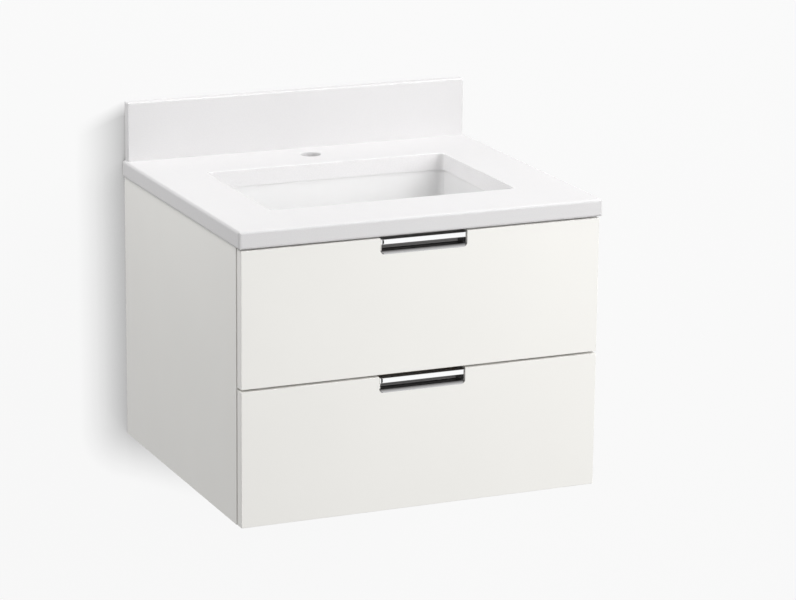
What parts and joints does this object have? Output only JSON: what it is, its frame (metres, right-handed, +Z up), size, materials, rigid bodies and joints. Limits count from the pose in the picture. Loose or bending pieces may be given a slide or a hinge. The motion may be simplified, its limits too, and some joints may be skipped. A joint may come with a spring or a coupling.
{
  "type": "floating vanity",
  "caption": "Wall-hung bathroom vanity: drawer cabinet on ball runners under a stone top with backsplash and undermount sink.",
  "frame": {"origin": "on the wall plane, midway between the two upper wall-fixing holes", "axes": "+X to the right along the wall, +Y into the wall, +Z up; the drawers open towards -Y"},
  "size_m": [0.635, 0.557, 0.5886],
  "materials": {
    "lacquer": "smooth satin white lacquer on board",
    "rail_board": "plain white foil on board",
    "stone": "honed white engineered stone",
    "glaze": "glossy white glaze",
    "clear_rubber": "clear silicone",
    "steel": "zinc plated",
    "galvanised_steel": "rolled galvanised sheet",
    "zinc": "die-cast zinc",
    "chrome": "polished chrome plate",
    "birch": "clear-lacquered birch plywood",
    "moulded_grey": "fine moulded texture",
    "clip_lever": "fine moulded texture"
  },
  "bodies": {
    "cabinet": {"left_side_panel": "lacquer", "right_side_panel": "lacquer", "bottom_panel": "lacquer", "hanging_rail": "rail_board", "lower_back_rail": "rail_board", "front_top_rail": "lacquer", "vanity_top": "stone", "backsplash": "stone", "undermount_sink": "glaze", "sink_seal": "clear_rubber", "sink_clips": "steel", "top_brackets": "steel", "cam_fittings": "zinc", "carcass_screws": "steel", "front_bumpers": "clear_rubber", "upper_left_runner_rail": "galvanised_steel", "upper_right_runner_rail": "galvanised_steel", "lower_left_runner_rail": "galvanised_steel", "lower_right_runner_rail": "galvanised_steel"},
    "upper_drawer": {"upper_drawer_front": "lacquer", "upper_drawer_pull": "chrome", "upper_drawer_left_side": "birch", "upper_drawer_right_side": "birch", "upper_drawer_inner_front": "birch", "upper_drawer_left_back": "birch", "upper_drawer_right_back": "birch", "upper_drawer_bottom": "birch", "upper_drawer_trap_surround": "moulded_grey", "upper_drawer_screws": "steel", "upper_drawer_clip_housings": "moulded_grey", "upper_left_runner_carriage": "galvanised_steel", "upper_right_runner_carriage": "galvanised_steel"},
    "upper_left_slide": {"upper_left_runner_slide": "galvanised_steel"},
    "upper_left_lower_cage": {"upper_left_lower_ball_cage": "steel"},
    "upper_left_upper_cage": {"upper_left_upper_ball_cage": "steel"},
    "upper_left_lever": {"upper_left_clip_lever": "clip_lever"},
    "upper_right_slide": {"upper_right_runner_slide": "galvanised_steel"},
    "upper_right_lower_cage": {"upper_right_lower_ball_cage": "steel"},
    "upper_right_upper_cage": {"upper_right_upper_ball_cage": "steel"},
    "upper_right_lever": {"upper_right_clip_lever": "clip_lever"},
    "lower_drawer": {"lower_drawer_front": "lacquer", "lower_drawer_pull": "chrome", "lower_drawer_left_side": "birch", "lower_drawer_right_side": "birch", "lower_drawer_inner_front": "birch", "lower_drawer_back": "birch", "lower_drawer_bottom": "birch", "lower_drawer_screws": "steel", "lower_drawer_clip_housings": "moulded_grey", "lower_left_runner_carriage": "galvanised_steel", "lower_right_runner_carriage": "galvanised_steel"},
    "lower_left_slide": {"lower_left_runner_slide": "galvanised_steel"},
    "lower_left_lower_cage": {"lower_left_lower_ball_cage": "steel"},
    "lower_left_upper_cage": {"lower_left_upper_ball_cage": "steel"},
    "lower_left_lever": {"lower_left_clip_lever": "clip_lever"},
    "lower_right_slide": {"lower_right_runner_slide": "galvanised_steel"},
    "lower_right_lower_cage": {"lower_right_lower_ball_cage": "steel"},
    "lower_right_upper_cage": {"lower_right_upper_ball_cage": "steel"},
    "lower_right_lever": {"lower_right_clip_lever": "clip_lever"}
  },
  "joints": [
    {"name": "upper_drawer_slide", "type": "slide", "parent": "cabinet", "child": "upper_drawer", "axis": [0, -1, 0], "range_m": [0, 0.42]},
    {"name": "upper_left_slide_travel", "type": "slide", "parent": "cabinet", "child": "upper_left_slide", "axis": [0, -1, 0], "range_m": [0, 0.21]},
    {"name": "upper_left_lower_cage_travel", "type": "slide", "parent": "cabinet", "child": "upper_left_lower_cage", "axis": [0, -1, 0], "range_m": [0, 0.105]},
    {"name": "upper_left_upper_cage_travel", "type": "slide", "parent": "cabinet", "child": "upper_left_upper_cage", "axis": [0, -1, 0], "range_m": [0, 0.315]},
    {"name": "upper_left_lever_squeeze", "type": "hinge", "parent": "upper_drawer", "child": "upper_left_lever", "pos_m": [-0.2415, -0.478, -0.1535], "axis": [0, 0, 1], "range_deg": [0, 12]},
    {"name": "upper_right_slide_travel", "type": "slide", "parent": "cabinet", "child": "upper_right_slide", "axis": [0, -1, 0], "range_m": [0, 0.21]},
    {"name": "upper_right_lower_cage_travel", "type": "slide", "parent": "cabinet", "child": "upper_right_lower_cage", "axis": [0, -1, 0], "range_m": [0, 0.105]},
    {"name": "upper_right_upper_cage_travel", "type": "slide", "parent": "cabinet", "child": "upper_right_upper_cage", "axis": [0, -1, 0], "range_m": [0, 0.315]},
    {"name": "upper_right_lever_squeeze", "type": "hinge", "parent": "upper_drawer", "child": "upper_right_lever", "pos_m": [0.2415, -0.478, -0.1535], "axis": [0, 0, -1], "range_deg": [0, 12]},
    {"name": "lower_drawer_slide", "type": "slide", "parent": "cabinet", "child": "lower_drawer", "axis": [0, -1, 0], "range_m": [0, 0.42]},
    {"name": "lower_left_slide_travel", "type": "slide", "parent": "cabinet", "child": "lower_left_slide", "axis": [0, -1, 0], "range_m": [0, 0.21]},
    {"name": "lower_left_lower_cage_travel", "type": "slide", "parent": "cabinet", "child": "lower_left_lower_cage", "axis": [0, -1, 0], "range_m": [0, 0.105]},
    {"name": "lower_left_upper_cage_travel", "type": "slide", "parent": "cabinet", "child": "lower_left_upper_cage", "axis": [0, -1, 0], "range_m": [0, 0.315]},
    {"name": "lower_left_lever_squeeze", "type": "hinge", "parent": "lower_drawer", "child": "lower_left_lever", "pos_m": [-0.2415, -0.478, -0.365], "axis": [0, 0, 1], "range_deg": [0, 12]},
    {"name": "lower_right_slide_travel", "type": "slide", "parent": "cabinet", "child": "lower_right_slide", "axis": [0, -1, 0], "range_m": [0, 0.21]},
    {"name": "lower_right_lower_cage_travel", "type": "slide", "parent": "cabinet", "child": "lower_right_lower_cage", "axis": [0, -1, 0], "range_m": [0, 0.105]},
    {"name": "lower_right_upper_cage_travel", "type": "slide", "parent": "cabinet", "child": "lower_right_upper_cage", "axis": [0, -1, 0], "range_m": [0, 0.315]},
    {"name": "lower_right_lever_squeeze", "type": "hinge", "parent": "lower_drawer", "child": "lower_right_lever", "pos_m": [0.2415, -0.478, -0.365], "axis": [0, 0, -1], "range_deg": [0, 12]}
  ],
  "couplings": [
    {"joint": "upper_left_slide_travel", "follows": "upper_drawer_slide", "ratio": 0.5},
    {"joint": "upper_left_lower_cage_travel", "follows": "upper_drawer_slide", "ratio": 0.25},
    {"joint": "upper_left_upper_cage_travel", "follows": "upper_drawer_slide", "ratio": 0.75},
    {"joint": "upper_right_slide_travel", "follows": "upper_drawer_slide", "ratio": 0.5},
    {"joint": "upper_right_lower_cage_travel", "follows": "upper_drawer_slide", "ratio": 0.25},
    {"joint": "upper_right_upper_cage_travel", "follows": "upper_drawer_slide", "ratio": 0.75},
    {"joint": "lower_left_slide_travel", "follows": "lower_drawer_slide", "ratio": 0.5},
    {"joint": "lower_left_lower_cage_travel", "follows": "lower_drawer_slide", "ratio": 0.25},
    {"joint": "lower_left_upper_cage_travel", "follows": "lower_drawer_slide", "ratio": 0.75},
    {"joint": "lower_right_slide_travel", "follows": "lower_drawer_slide", "ratio": 0.5},
    {"joint": "lower_right_lower_cage_travel", "follows": "lower_drawer_slide", "ratio": 0.25},
    {"joint": "lower_right_upper_cage_travel", "follows": "lower_drawer_slide", "ratio": 0.75}
  ]
}
